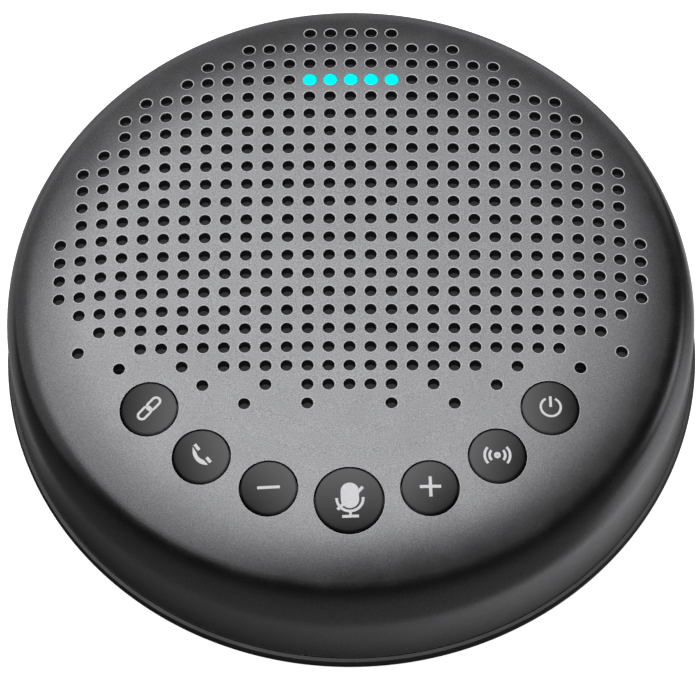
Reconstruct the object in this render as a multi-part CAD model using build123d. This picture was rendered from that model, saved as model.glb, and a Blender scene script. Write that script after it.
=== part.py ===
from build123d import *
import os
from math import cos, radians, sin, tan

# A round desk speakerphone: a perforated, domed top shell on a shallow base, seven sprung keys along
# the front, a loudspeaker, two microphones, a rechargeable cell and a USB radio dongle stowed in a bay.
# Millimetres. Z points up, Y points to the rear, and the origin is the centre of the foot's underside.

# ---- driving dimensions ----
outer_diameter = 123.0
overall_height = 33.0
shell_wall = 2.0
hole_pitch = 3.65
hole_diameter = 2.0
key_circle_radius = 42.9
key_circle_y = 1.04
small_key_diameter = 9.7
mute_key_diameter = 11.7
key_gap = 0.3
key_proud = 0.2

# ---- dome profile: each arc's radius and the downward slope at its end, in degrees ----
DOME_ARCS = [(730.0, 3.0), (65.3, 20.5), (2.6, 59.5), (13.0, 90.0)]
thinnest_arc = 0.05

# ---- seam and base ----
seam_z = 7.74
seam_gap = 0.31
shell_foot_radius = 60.75
rim_arc_radius = 2.5
rim_start_slope = 57.6
rim_end_slope = 118.0
belly_arc_radius = 7.0
belly_end_slope = 160.0
underside_z = 1.2
foot_top_z = 1.6
foot_radius = 54.2
foot_seat_gap = 0.2
floor_z = 3.6
cavity_radius = 57.05
lip_radius = 58.25
lip_top_z = 9.2

# ---- perforation: holes each side of the middle one, rear row first, then the rows that fade out ----
rear_row_y = 53.15
FULL_ROWS = [2, 5, 7, 8, 10, 11, 11, 12, 13, 13, 13, 13, 14, 14, 14, 14, 13, 12]
FADING_ROWS = [[*range(11), 13], [*range(7), 8], [0, 1, 2, 4, 7], [2, 5]]
lamp_row = 3
lamp_columns = range(-2, 3)
lamp_hole_diameter = 2.3
lamp_lens_play = 0.08
lamp_lens_proud = 0.06
microphone_row = 19
microphone_column = 11

# ---- keys: name and angle round the key circle from the front, counter-clockwise seen from above ----
KEYS = {
    "link_key": -54.1,
    "call_key": -36.55,
    "volume_down_key": -18.9,
    "mute_key": 0.0,
    "volume_up_key": 18.9,
    "wireless_key": 36.55,
    "power_key": 54.1,
}
key_flange = 0.9
key_head_depth = 3.0
key_flange_gap = 0.35
key_flange_thickness = 0.85
key_stem_radius = 1.5
key_stem_end_z = 25.6

# ---- boards ----
key_board_z = 22.0
key_board_thickness = 1.2
key_guide_z = 25.4
key_guide_thickness = 0.9
key_plate_inner_radius = 37.8
key_plate_outer_radius = 51.2
key_post_circle = 48.6
KEY_POST_ANGLES = [-63.0, -28.5, 28.5, 63.0]
main_board_z = 9.6
main_board_thickness = 1.6
main_board_radius = 54.5
main_board_top = main_board_z + main_board_thickness
BOARD_SCREWS = [(-46, 4), (46, 4), (-27, -38.5), (27, -38.5), (-9, 40), (9, 40)]

# ---- case screws ----
case_boss_circle = 51.5
case_boss_radius = 3.0
case_boss_joint_z = 12.0
case_boss_top_z = 21.5
CASE_BOSS_ANGLES = [-135.0, -45.0, 68.0, 112.0]
screw_radius = 1.1
screw_play = 0.05

# ---- loudspeaker ----
speaker_y = 12.0
speaker_radius = 26.0
speaker_face_z = 27.8
speaker_flange = 1.2
frame_radius = 28.2
frame_leg_circle = 25.4
frame_leg_radius = 2.2
frame_ledge_z = 23.4
frame_inner_radius = 22.9
mesh_gap = 0.05
mesh_thickness = 0.3

# ---- ports ----
port_length = 7.4
port_mouth = 58.0
usb_width = 8.94
usb_height = 3.26
usb_axis_z = main_board_top + usb_height / 2
jack_turn = 50.0
jack_axis_z = main_board_top + 2.7
jack_bore_radius = 1.8
jack_bore_length = 11.5

# ---- dongle and its bay, turned about Z from the rear ----
bay_turn = -50.0
bay_z = 14.0
dongle_width = 16.9
dongle_height = 7.5
dongle_shoulder = 45.0
dongle_end = 61.2
dongle_shoulder_radius = 2.3
plug_width = 12.0
plug_height = 4.5
plug_tip = 32.7
bay_play = 0.65
plug_play = 0.4
bay_wall = 1.2

parts = {}


# ---- helpers ----
def cylinder(radius, low, high, x=0.0, y=0.0):
    """Upright cylinder between two heights."""
    return Pos(x, y, (low + high) / 2) * Cylinder(radius, high - low)


def tube(outer, inner, low, high, x=0.0, y=0.0):
    """Upright tube between two heights."""
    return cylinder(outer, low, high, x, y) - cylinder(inner, low, high, x, y)


def block(x_low, x_high, y_low, y_high, z_low, z_high):
    """Box from its six faces."""
    centre = Pos((x_low + x_high) / 2, (y_low + y_high) / 2, (z_low + z_high) / 2)
    return centre * Box(x_high - x_low, y_high - y_low, z_high - z_low)


def rounded_bar(width, height, y_low, y_high, z, corner):
    """Bar along Y with a rounded-rectangle section, centred on X."""
    section = Plane.XZ.offset(-y_high) * Pos(0, z) * RectangleRounded(width, height, corner)
    return extrude(section, y_high - y_low)


def rod(radius, y_low, y_high, z):
    """Cylinder along Y, centred on X."""
    return Pos(0, (y_low + y_high) / 2, z) * Rot(90, 0, 0) * Cylinder(radius, y_high - y_low)


def at_front(radius, angle):
    """Place on a circle, at an angle from the front."""
    return radius * sin(radians(angle)), -radius * cos(radians(angle))


def on_key_circle(angle):
    """Place on the key circle, at an angle from the front."""
    x, y = at_front(key_circle_radius, angle)
    return x, y + key_circle_y


def at_angle(radius, angle):
    """Place on a circle, at an angle from +X."""
    return radius * cos(radians(angle)), radius * sin(radians(angle))


def profile_arc(start, radius, slope_start, slope_end):
    """Arc in the XZ plane that turns from one downward slope to the next; returns it and its end."""
    def on_arc(slope):
        across = radius * (sin(radians(slope)) - sin(radians(slope_start)))
        down = radius * (cos(radians(slope)) - cos(radians(slope_start)))
        return (start[0] + across, 0, start[2] + down)

    end = on_arc(slope_end)
    return ThreePointArc(start, on_arc((slope_start + slope_end) / 2), end), end


def dome_edges(inset):
    """The dome's profile from the axis to the foot of the wall, moved inwards by inset."""
    edges = []
    point = (0, 0, overall_height - inset)
    slope = 0.0
    for radius, end_slope in DOME_ARCS:
        arc, point = profile_arc(point, max(radius - inset, thinnest_arc), slope, end_slope)
        edges.append(arc)
        slope = end_slope
    foot = (shell_foot_radius - inset, 0, seam_z + seam_gap)
    edges.append(Line(point, foot))
    return edges


def under_dome(inset):
    """Solid of everything below the dome, moved inwards by inset, down to the seam."""
    edges = dome_edges(inset)
    top = edges[0] @ 0
    foot = edges[-1] @ 1
    low = (0, 0, foot.Z)
    outline = edges + [Line(foot, low), Line(low, top)]
    return revolve(make_face(outline), Axis.Z)


def screw(x, y, head_z, length, radius=screw_radius, up=True):
    """Pan-head screw: the head's seat is at head_z, and the shank runs up or down from it."""
    head_radius = 1.9 * radius
    head_height = 1.3 * radius
    direction = 1 if up else -1
    shank_end = head_z + direction * length
    head_end = head_z - direction * head_height
    shank = cylinder(radius, min(head_z, shank_end), max(head_z, shank_end), x, y)
    head = cylinder(head_radius, min(head_z, head_end), max(head_z, head_end), x, y)
    slot_low = min(head_end, head_end + direction * 0.5)
    slot = block(x - head_radius, x + head_radius, y - 0.25, y + 0.25, slot_low, slot_low + 0.5)
    cross = block(x - 0.25, x + 0.25, y - head_radius, y + head_radius, slot_low, slot_low + 0.5)
    return shank + head - slot - cross


def arc_plate(inner, outer, half_angle, low, thickness):
    """Flat plate along the front, as part of a ring."""
    sweep = 2 * half_angle
    ring = Circle(outer) - Circle(inner)
    reach = outer / cos(radians(half_angle / 2))
    corners = [(0, 0)]
    for step in range(5):
        corners.append(at_front(1.3 * reach, -half_angle + sweep * step / 4))
    wedge = make_face(Polyline(*corners, close=True))
    return Pos(0, 0, low) * extrude(ring & wedge, thickness)


def group(solids):
    """Several separate solids in one node."""
    return Compound(children=list(solids))


# ---- perforation ----
def grille_holes():
    """Places of the perforation's holes, without the lamps and the microphones."""
    places = []
    rows = [list(range(count + 1)) for count in FULL_ROWS] + FADING_ROWS
    for number, columns in enumerate(rows):
        y = rear_row_y - number * hole_pitch
        for column in columns:
            if number == lamp_row and column in lamp_columns:
                continue
            places.append((column * hole_pitch, y))
            if column:
                places.append((-column * hole_pitch, y))
    return places


LAMPS = [(column * hole_pitch, rear_row_y - lamp_row * hole_pitch) for column in lamp_columns]
lamp_y = LAMPS[0][1]
microphone_y = rear_row_y - microphone_row * hole_pitch
MICROPHONES = [(side * microphone_column * hole_pitch, microphone_y) for side in (-1, 1)]
KEY_PLACES = {name: on_key_circle(angle) for name, angle in KEYS.items()}
CASE_BOSSES = [at_angle(case_boss_circle, angle) for angle in CASE_BOSS_ANGLES]
KEY_POSTS = [at_front(key_post_circle, angle) for angle in KEY_POST_ANGLES]
FRAME_LEGS = [
    (x_side * frame_leg_circle * cos(radians(45)), speaker_y + y_side * frame_leg_circle * sin(radians(45)))
    for x_side in (-1, 1)
    for y_side in (-1, 1)
]


def key_radius(name):
    """Radius of one key's cap."""
    return (mute_key_diameter if name == "mute_key" else small_key_diameter) / 2


# ---- casing ----
def make_top_shell():
    """Domed shell with its perforation, key openings, port openings, posts and bosses."""
    outer = dome_edges(0)
    inner = dome_edges(shell_wall)
    closing = [Line(outer[-1] @ 1, inner[-1] @ 1), Line(outer[0] @ 0, inner[0] @ 0)]
    shell = revolve(make_face(outer + inner + closing), Axis.Z)

    openings = [Pos(x, y) * Circle(hole_diameter / 2) for x, y in grille_holes() + MICROPHONES]
    openings += [Pos(x, y) * Circle(lamp_hole_diameter / 2) for x, y in LAMPS]
    for name, (x, y) in KEY_PLACES.items():
        openings.append(Pos(x, y) * Circle(key_radius(name) + key_gap))
    drill_low = overall_height - 8
    drills = extrude(Pos(0, 0, drill_low) * Sketch(children=openings), 9)
    shell = shell - drills

    posts = [cylinder(2.2, key_guide_z + key_guide_thickness, overall_height, x, y) for x, y in KEY_POSTS]
    bosses = []
    for angle in CASE_BOSS_ANGLES:
        boss = cylinder(case_boss_radius, case_boss_joint_z, case_boss_top_z, case_boss_circle)
        web = block(case_boss_circle, shell_foot_radius, -1, 1, case_boss_joint_z + 2, case_boss_top_z)
        bosses.append(Rot(0, 0, angle) * (boss + web))
    inside = under_dome(shell_wall / 2)
    shell = shell + [post & inside for post in posts] + [boss & inside for boss in bosses]
    pilots = [cylinder(0.85, 26, 28.5, x, y) for x, y in KEY_POSTS]
    pilots += [cylinder(screw_radius + screw_play, 11, 18, x, y) for x, y in CASE_BOSSES]
    return shell - pilots - port_openings()


def port_openings():
    """Openings in the rear wall for the USB-C plug, the audio plug and the dongle."""
    usb = rounded_bar(12.8, 6.6, 54, 64, usb_axis_z + 0.1, 2.2)
    jack = Rot(0, 0, jack_turn) * rod(3.8, 54, 64, jack_axis_z)
    bay = rounded_bar(dongle_width + 1.7, dongle_height + 1.5, 50, 64, bay_z, 2.2)
    return [usb, jack, Rot(0, 0, bay_turn) * bay]


def make_base_shell():
    """Shallow base with a rounded rim, a lip inside the seam, bosses and screw seats."""
    rim_width = rim_arc_radius * sin(radians(rim_start_slope))
    rim_centre = outer_diameter / 2 - rim_arc_radius
    ridge = (rim_centre + rim_width, 0, seam_z)
    side, point = profile_arc(ridge, rim_arc_radius, rim_start_slope, rim_end_slope)
    belly, point = profile_arc(point, belly_arc_radius, rim_end_slope, belly_end_slope)
    run = (point[2] - underside_z) / tan(radians(180 - belly_end_slope))
    heel = (point[0] - run, 0, underside_z)
    outline = [
        side,
        belly,
        Line(point, heel),
        Polyline(heel, (0, 0, underside_z), (0, 0, floor_z), (cavity_radius, 0, floor_z)),
        Polyline((cavity_radius, 0, floor_z), (cavity_radius, 0, lip_top_z), (lip_radius, 0, lip_top_z)),
        Polyline((lip_radius, 0, lip_top_z), (lip_radius, 0, seam_z), ridge),
    ]
    base = revolve(make_face(outline), Axis.Z)
    base -= cylinder(foot_radius + foot_seat_gap, 0, foot_top_z)

    for x, y in CASE_BOSSES:
        base += cylinder(case_boss_radius, floor_z - 1, case_boss_joint_z, x, y)
    for x, y in BOARD_SCREWS:
        base += cylinder(2.7, floor_z - 1, main_board_z, x, y)
        base -= cylinder(0.9, floor_z + 0.6, main_board_z, x, y)
    for x, y in CASE_BOSSES:
        base -= cylinder(screw_radius + 0.2, 0, case_boss_joint_z, x, y)
        base -= cylinder(2.4, 0, 5.0, x, y)
    for x, y in FRAME_LEGS:
        base -= cylinder(screw_radius + 0.2, 0, floor_z, x, y)
        base -= cylinder(2.4, 0, 3.1, x, y)
    bay_notch = Rot(0, 0, bay_turn) * block(-11.2, 11.2, 50, 58.5, seam_z, lip_top_z + 1)
    return base - bay_notch


def make_foot():
    """Rubber disc with a slightly raised ring to stand on and a softened edge."""
    disc = cylinder(foot_radius, 0.4, foot_top_z)
    ring = tube(foot_radius - 0.6, foot_radius - 12, 0, 0.5)
    return disc + ring


def case_screws():
    """Four screws from below that hold the two shells together."""
    return group(screw(x, y, 5.0, 12.0) for x, y in CASE_BOSSES)


# ---- keys ----
def make_key(name):
    """Key cap that stands a little proud of the dome, with a retaining flange and a stem to its switch."""
    x, y = KEY_PLACES[name]
    radius = key_radius(name)
    flange_top = shell_wall + key_flange_gap
    flange_low = flange_top + key_flange_thickness
    head = cylinder(radius, 20, overall_height + 1, x, y) & under_dome(-key_proud)
    flange = cylinder(radius + key_flange, 20, overall_height, x, y) & under_dome(flange_top)
    upper = (head + flange) - under_dome(flange_low)
    stem = cylinder(key_stem_radius, key_stem_end_z, overall_height, x, y)
    return upper + (stem & under_dome(key_head_depth))


def make_key_guide():
    """Plastic plate that guides the key stems and spaces the key board below it."""
    top = key_guide_z + key_guide_thickness
    plate = arc_plate(key_plate_inner_radius, key_plate_outer_radius, 66.0, key_guide_z, key_guide_thickness)
    for x, y in KEY_POSTS:
        plate += cylinder(2.2, key_board_z + key_board_thickness, key_guide_z + 0.5, x, y)
    for x, y in KEY_POSTS:
        plate -= cylinder(1.0, 20, top, x, y)
    for x, y in KEY_PLACES.values():
        plate -= cylinder(key_stem_radius + 0.25, 20, top, x, y)
    for x, y in MICROPHONES:
        plate -= cylinder(3.0, 20, top, x, y)
    return plate


def make_key_board():
    """Arc-shaped circuit board under the keys, which also carries the microphones."""
    board = arc_plate(key_plate_inner_radius, key_plate_outer_radius, 75.0, key_board_z, key_board_thickness)
    for x, y in KEY_POSTS:
        board -= cylinder(1.0, 20, 24, x, y)
    return board


def tact_switch(x, y, low):
    """Small square switch with a round actuator."""
    body = block(x - 2, x + 2, y - 2, y + 2, low, low + 1.3)
    return body + cylinder(1.0, low + 1.3, low + 1.7, x, y)


def microphone_gasket(x, y, low):
    """Rubber sleeve from the microphone's port to the dome."""
    sleeve = cylinder(2.3, low, overall_height, x, y) & under_dome(shell_wall + mesh_gap)
    return sleeve - cylinder(0.9, 20, overall_height, x, y)


def key_group():
    """Keys, their guide, board, switches, screws and the microphones."""
    board_top = key_board_z + key_board_thickness
    for name in KEYS:
        parts[name] = make_key(name)
    parts["key_guide"] = make_key_guide()
    parts["key_board"] = make_key_board()
    parts["key_switches"] = group(tact_switch(x, y, board_top) for x, y in KEY_PLACES.values())
    parts["key_board_screws"] = group(screw(x, y, key_board_z, 6.0, radius=0.8) for x, y in KEY_POSTS)
    mics = [block(x - 1.8, x + 1.8, y - 1.4, y + 1.4, board_top, board_top + 1.1) for x, y in MICROPHONES]
    ports = [cylinder(0.35, board_top + 0.5, board_top + 2, x, y) for x, y in MICROPHONES]
    parts["microphones"] = group(mic - port for mic, port in zip(mics, ports))
    parts["microphone_gaskets"] = group(microphone_gasket(x, y, board_top + 1.1) for x, y in MICROPHONES)


# ---- status lamps ----
def lamp_group():
    """Five lamps on a small board, and the clear guide that carries their light through the dome."""
    board_low = frame_ledge_z + 1.0
    board_top = board_low + 1.0
    guide_low = board_top + 0.8
    board = block(-13, 13, 40.4, 45.4, board_low, board_top)
    parts["lamp_board"] = board - [cylinder(0.9, 20, 30, x, lamp_y + 0.8) for x in (-11, 11)]
    parts["lamps"] = group(
        block(x - 0.8, x + 0.8, y - 0.5, y + 0.5, board_top, board_top + 0.6) for x, y in LAMPS
    )
    bar = block(-9.4, 9.4, lamp_y - 1.3, lamp_y + 1.3, guide_low, guide_low + 1.5)
    feet = [block(x - 0.4, x + 0.4, lamp_y - 1.3, lamp_y + 1.3, board_top, guide_low + 0.5) for x in (-9, 9)]
    pin_radius = lamp_hole_diameter / 2 - lamp_lens_play
    pins = [cylinder(pin_radius, guide_low + 1, overall_height, x, y) for x, y in LAMPS]
    lens_face = under_dome(-lamp_lens_proud)
    parts["lamp_light_guide"] = bar + feet + [pin & lens_face for pin in pins]
    parts["lamp_board_screws"] = group(
        screw(x, lamp_y + 0.8, board_top, 1.9, radius=0.8, up=False) for x in (-11, 11)
    )


# ---- loudspeaker ----
def speaker_ring(points):
    """Solid of revolution about the loudspeaker's axis, from (radius, height) points."""
    outline = Polyline(*[(radius, 0, height) for radius, height in points], close=True)
    return Pos(0, speaker_y, 0) * revolve(make_face(outline), Axis.Z)


def speaker_group():
    """Moving-coil loudspeaker, its frame, gasket and wires."""
    flange_low = speaker_face_z - speaker_flange
    basket = speaker_ring([
        (21.7, flange_low + 0.3), (21.7, speaker_face_z), (speaker_radius, speaker_face_z),
        (speaker_radius, flange_low), (22.6, flange_low), (13.6, 17.6), (13.6, 16.4), (8.2, 16.4),
        (8.2, 17.2), (12.8, 17.2), (12.8, 18.0),
    ])
    windows = [
        Pos(0, speaker_y, 21.6) * Rot(0, 0, 60 * turn + 30) * Pos(17.0, 0, 0) * Box(9, 9, 4)
        for turn in range(6)
    ]
    parts["speaker_basket"] = basket - windows
    parts["speaker_top_plate"] = speaker_ring([(7.6, 15.0), (7.6, 16.4), (11.0, 16.4), (11.0, 15.0)])
    yoke = speaker_ring([(0, 12.5), (0, 13.4), (10.0, 13.4), (10.0, 15.0), (11.0, 15.0), (11.0, 12.5)])
    parts["speaker_yoke"] = yoke
    parts["speaker_magnet"] = cylinder(6.6, 13.4, 16.4, 0, speaker_y)
    coil_top = 19.0
    parts["voice_coil"] = tube(7.3, 6.9, 14.2, coil_top, 0, speaker_y)
    parts["spider"] = speaker_ring([
        (7.4, 18.2), (9.0, 18.6), (10.4, 18.0), (12.2, 18.0),
        (12.2, 17.3), (10.2, 17.5), (9.0, 18.1), (7.4, 17.8),
    ])
    parts["speaker_cone"] = speaker_ring([
        (7.4, 18.3), (7.4, 19.1), (17.0, 26.9), (18.3, 26.9), (18.3, 26.4),
    ])
    dust_cap = Pos(0, speaker_y, 10.2) * Sphere(11.8)
    dust_cap -= Pos(0, speaker_y, 10.2) * Sphere(11.4)
    parts["dust_cap"] = dust_cap - block(-20, 20, -20, 40, -5, 19.4)
    roll = Pos(0, speaker_y, 26.9) * (Torus(19.8, 1.6) - Torus(19.8, 1.3))
    roll -= block(-30, 30, -30, 50, 20, 26.9)
    parts["speaker_surround"] = roll
    gasket_tube = tube(27.9, 22.4, speaker_face_z, overall_height, 0, speaker_y)
    parts["speaker_gasket"] = gasket_tube & under_dome(shell_wall + mesh_gap + mesh_thickness)
    parts["speaker_terminals"] = group(
        block(x - 0.8, x + 0.8, speaker_y - 16.2, speaker_y - 14.6, 17.6, 18.2) for x in (-2, 2)
    )
    parts["speaker_frame"] = make_speaker_frame()
    parts["speaker_frame_screws"] = group(screw(x, y, 3.1, 7.0) for x, y in FRAME_LEGS)
    parts["acoustic_mesh"] = make_acoustic_mesh()


def make_speaker_frame():
    """Ring that carries the loudspeaker on four legs, with a shelf for the lamp board."""
    flange_low = speaker_face_z - speaker_flange
    frame = tube(frame_radius, frame_inner_radius, frame_ledge_z, flange_low, 0, speaker_y)
    frame += tube(frame_radius, speaker_radius + 0.2, frame_ledge_z, speaker_face_z, 0, speaker_y)
    frame += block(-13, 13, 37, 46.2, frame_ledge_z, frame_ledge_z + 1.0) - cylinder(
        frame_inner_radius, frame_ledge_z, frame_ledge_z + 1, 0, speaker_y
    )
    for x, y in FRAME_LEGS:
        frame += cylinder(frame_leg_radius, floor_z, frame_ledge_z + 0.5, x, y)
    for x, y in FRAME_LEGS:
        frame -= cylinder(screw_radius + screw_play, floor_z, 11, x, y)
    for x in (-11, 11):
        frame -= cylinder(0.85, 20, 30, x, lamp_y + 0.8)
    return frame


def make_acoustic_mesh():
    """Cloth bonded under the perforation, cut away around the keys, lamps and microphones."""
    inset = shell_wall + mesh_gap
    field = cylinder(54.6, 20, overall_height) - block(-60, 60, -60, -26.5, 0, 40)
    cloth = (field & under_dome(inset)) - under_dome(inset + mesh_thickness)
    for name, (x, y) in KEY_PLACES.items():
        cloth -= cylinder(key_radius(name) + key_flange + 0.8, 20, overall_height, x, y)
    for x, y in MICROPHONES + KEY_POSTS:
        cloth -= cylinder(2.7, 20, overall_height, x, y)
    return cloth - block(-9.6, 9.6, lamp_y - 1.5, lamp_y + 1.5, 20, overall_height)


# ---- main board, cell and ports ----
def make_main_board():
    """Round board with cut-outs for the bosses, the loudspeaker's legs and the dongle bay."""
    board = cylinder(main_board_radius, main_board_z, main_board_top)
    for x, y in CASE_BOSSES:
        board -= cylinder(case_boss_radius + 0.8, 0, 20, x, y)
    for x, y in FRAME_LEGS:
        board -= cylinder(frame_leg_radius + 0.5, 0, 20, x, y)
    for x, y in BOARD_SCREWS:
        board -= cylinder(screw_radius, 0, 20, x, y)
    return board - Rot(0, 0, bay_turn) * block(-11.4, 11.4, 28.6, 60, 0, 20)


def board_chip(x, y, width, depth, height):
    """Flat component on the main board."""
    low, high = main_board_top, main_board_top + height
    return block(x - width / 2, x + width / 2, y - depth / 2, y + depth / 2, low, high)


def make_ribbons():
    """Flat cables from the main board to the key board and to the lamp board."""
    key_ribbon = block(-4, 4, -44.1, -43.9, main_board_top + 1.6, key_board_z - 1.2)
    lamp_ribbon = block(9.8, 12.6, 46.4, 46.6, main_board_top + 1.6, frame_ledge_z + 1.6)
    return key_ribbon, lamp_ribbon


def board_group():
    """Main board with its components, the cell under it, and the flat cables."""
    parts["main_board"] = make_main_board()
    parts["main_board_screws"] = group(
        screw(x, y, main_board_top, 5.2, radius=0.85, up=False) for x, y in BOARD_SCREWS
    )
    can = board_chip(-22, -24, 16, 12, 2.2) - board_chip(-22, -24, 15.4, 11.4, 1.9)
    parts["radio_shield"] = can
    parts["radio_chip"] = board_chip(-22, -24, 7, 7, 0.9)
    parts["audio_chips"] = group([board_chip(2, -24, 9, 9, 1.0), board_chip(14, -16, 5, 5, 0.9)])
    parts["power_inductors"] = group(board_chip(x, -30, 6, 6, 3.0) for x in (16, 25))
    parts["capacitors"] = group(
        cylinder(2.2, main_board_top, main_board_top + 5.4, -38 + 5.4 * number, -8) for number in range(3)
    )
    parts["board_sockets"] = group([
        board_chip(0, -44, 11, 3.2, 1.6),
        board_chip(11.2, 46.5, 4.4, 2.4, 1.6),
        board_chip(0, speaker_y - 15.4, 7, 3.0, 2.2),
        block(-5.5, 5.5, -45.6, -42.4, key_board_z - 1.2, key_board_z),
    ])
    key_ribbon, lamp_ribbon = make_ribbons()
    parts["key_ribbon"] = key_ribbon
    parts["lamp_ribbon"] = lamp_ribbon
    parts["speaker_wires"] = group(
        cylinder(0.5, main_board_top + 2.2, 17.6, x, speaker_y - 15.4) for x in (-2, 2)
    )
    parts["cell_pad"] = block(-21, 21, -46, -14, floor_z, floor_z + 0.4)
    cell = Pos(0, -30, floor_z + 2.8) * Box(44, 35, 4.8)
    parts["battery_cell"] = fillet(cell.edges().filter_by(Axis.Y), 1.4)
    parts["battery_terminals"] = group(
        block(x - 1.5, x + 1.5, -17, -14, floor_z + 5.2, main_board_z) for x in (-4, 4)
    )


def port_group():
    """USB-C socket and audio jack on the main board's rear edge."""
    corner = usb_height / 2 - 0.05
    low = port_mouth - port_length
    socket = rounded_bar(usb_width, usb_height, low, port_mouth, usb_axis_z, corner)
    socket -= rounded_bar(usb_width - 0.6, usb_height - 0.6, low + 0.8, port_mouth, usb_axis_z, corner - 0.3)
    parts["usb_c_socket"] = socket
    parts["usb_c_tongue"] = rounded_bar(6.6, 0.7, low + 0.8, port_mouth - 0.9, usb_axis_z, 0.3)
    jack = block(-3.1, 3.1, port_mouth - 13.5, port_mouth - 1.8, main_board_top, main_board_top + 5.4)
    jack += rod(2.9, port_mouth - 3, port_mouth, jack_axis_z)
    jack -= rod(jack_bore_radius, port_mouth - jack_bore_length, port_mouth, jack_axis_z)
    parts["audio_jack"] = Rot(0, 0, jack_turn) * jack


# ---- dongle and its bay ----
def make_dongle_bay():
    """Stepped plastic sleeve on a pedestal, open towards the rear wall."""
    front = 57.2
    wide_width, wide_height = dongle_width + 2 * bay_play, dongle_height + 2 * bay_play
    slim_width, slim_height = plug_width + 2 * plug_play, plug_height + 2 * plug_play
    hollow = rounded_bar(wide_width, wide_height, 44.5, front, bay_z, 2.2)
    bay = rounded_bar(wide_width + 2 * bay_wall, wide_height + 2 * bay_wall, 43.3, front, bay_z, 2.6)
    bay += rounded_bar(slim_width + 2 * bay_wall, slim_height + 2 * bay_wall, 30.6, 44, bay_z, 1.4)
    bay -= hollow
    bay -= rounded_bar(slim_width, slim_height, 32.1, 46, bay_z, 0.6)
    for side in (-1, 1):
        pedestal_top = bay_z - slim_height / 2 - 0.5
        bay += block(side * 5 - 0.8, side * 5 + 0.8, 33, 56, floor_z, pedestal_top)
    return Rot(0, 0, bay_turn) * (bay - hollow)


def dongle_group():
    """Radio dongle: a plastic cap on a USB-A plug with its tongue, contacts and board."""
    place = Rot(0, 0, bay_turn)
    cap = rounded_bar(dongle_width, dongle_height, dongle_shoulder, dongle_end, bay_z, 1.8)
    plan_end = dongle_end + 2 * dongle_shoulder_radius
    plan = RectangleRounded(dongle_width, plan_end - dongle_shoulder, dongle_shoulder_radius)
    cap &= extrude(Pos(0, (dongle_shoulder + plan_end) / 2) * plan, 2 * bay_z)
    hollow_low, hollow_high = dongle_shoulder + 1.4, dongle_end - 1.2
    cap -= rounded_bar(dongle_width - 2.2, dongle_height - 2.2, hollow_low, hollow_high, bay_z, 0.9)
    plug_hole_end = dongle_shoulder + 2
    cap -= rounded_bar(plug_width + 0.04, plug_height + 0.04, dongle_shoulder, plug_hole_end, bay_z, 0.4)
    plug_back = dongle_shoulder + 2.6
    plug = rounded_bar(plug_width, plug_height, plug_tip, plug_back, bay_z, 0.4)
    plug -= rounded_bar(plug_width - 0.6, plug_height - 0.6, plug_tip, plug_back, bay_z, 0.2)
    for side in (-1, 1):
        window = block(-1.2, 1.2, 37.4, 39.6, bay_z, bay_z + plug_height)
        plug -= Pos(side * 2.8, 0, 0) * window
    tongue_top = bay_z - 0.1
    tongue = block(-5.4, 5.4, plug_tip + 0.6, plug_back - 0.4, bay_z - plug_height / 2 + 0.35, tongue_top)
    board = block(-6.6, 6.6, plug_back + 0.1, dongle_end - 1.6, bay_z - 0.9, bay_z - 0.1)
    contacts = [
        block(x - 0.5, x + 0.5, plug_tip + 1.8, plug_back - 0.6, tongue_top, tongue_top + 0.15)
        for x in (-3.5, -1.0, 1.0, 3.5)
    ]
    chip = block(-2.6, 2.6, 51, 56, bay_z - 0.1, bay_z + 0.8)
    parts["dongle_cap"] = place * cap
    parts["dongle_plug"] = place * plug
    parts["dongle_tongue"] = place * tongue
    parts["dongle_contacts"] = group(place * contact for contact in contacts)
    parts["dongle_board"] = group([place * board, place * chip])


# ---- build and write ----
parts["top_shell"] = make_top_shell()
parts["base_shell"] = make_base_shell()
parts["rubber_foot"] = make_foot()
parts["case_screws"] = case_screws()
key_group()
lamp_group()
speaker_group()
board_group()
port_group()
parts["dongle_bay"] = make_dongle_bay()
dongle_group()

os.makedirs("parts", exist_ok=True)
for name, shape in parts.items():
    export_step(shape, f"parts/{name}.step")
print(len(parts), "parts")
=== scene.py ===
from math import asin, ceil, cos, hypot, pi, radians, sin, sqrt, tan

import bpy
from mathutils import Matrix, Vector
from mathutils.geometry import delaunay_2d_cdt
from mathutils.kdtree import KDTree


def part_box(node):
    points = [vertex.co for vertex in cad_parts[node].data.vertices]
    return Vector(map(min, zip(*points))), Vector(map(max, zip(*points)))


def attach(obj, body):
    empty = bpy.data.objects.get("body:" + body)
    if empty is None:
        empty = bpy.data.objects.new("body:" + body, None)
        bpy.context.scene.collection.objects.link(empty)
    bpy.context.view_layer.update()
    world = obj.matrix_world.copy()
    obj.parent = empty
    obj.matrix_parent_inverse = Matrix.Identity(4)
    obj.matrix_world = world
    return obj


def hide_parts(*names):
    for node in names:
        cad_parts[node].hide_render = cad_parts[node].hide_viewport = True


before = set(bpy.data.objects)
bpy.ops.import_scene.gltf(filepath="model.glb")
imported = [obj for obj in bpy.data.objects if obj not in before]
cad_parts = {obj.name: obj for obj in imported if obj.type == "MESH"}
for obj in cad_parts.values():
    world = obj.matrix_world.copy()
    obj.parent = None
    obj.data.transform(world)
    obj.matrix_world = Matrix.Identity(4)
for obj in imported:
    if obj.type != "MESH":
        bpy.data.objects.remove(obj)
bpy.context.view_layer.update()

# Looks of a round desk speakerphone. Shapes are worked out in millimetres and written in metres.
MM = 0.001

# ---- the dome: each arc's radius and the downward slope at its end, in degrees ----
DOME_ARCS = [(730.0, 3.0), (65.3, 20.5), (2.6, 59.5), (13.0, 90.0)]
thinnest_arc = 0.05
shell_wall = 2.0
shell_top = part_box("top_shell")[1].z / MM
shell_foot_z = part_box("top_shell")[0].z / MM
shell_foot_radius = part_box("top_shell")[1].x / MM
turns = 288
station_turn = radians(3.0)

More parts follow.
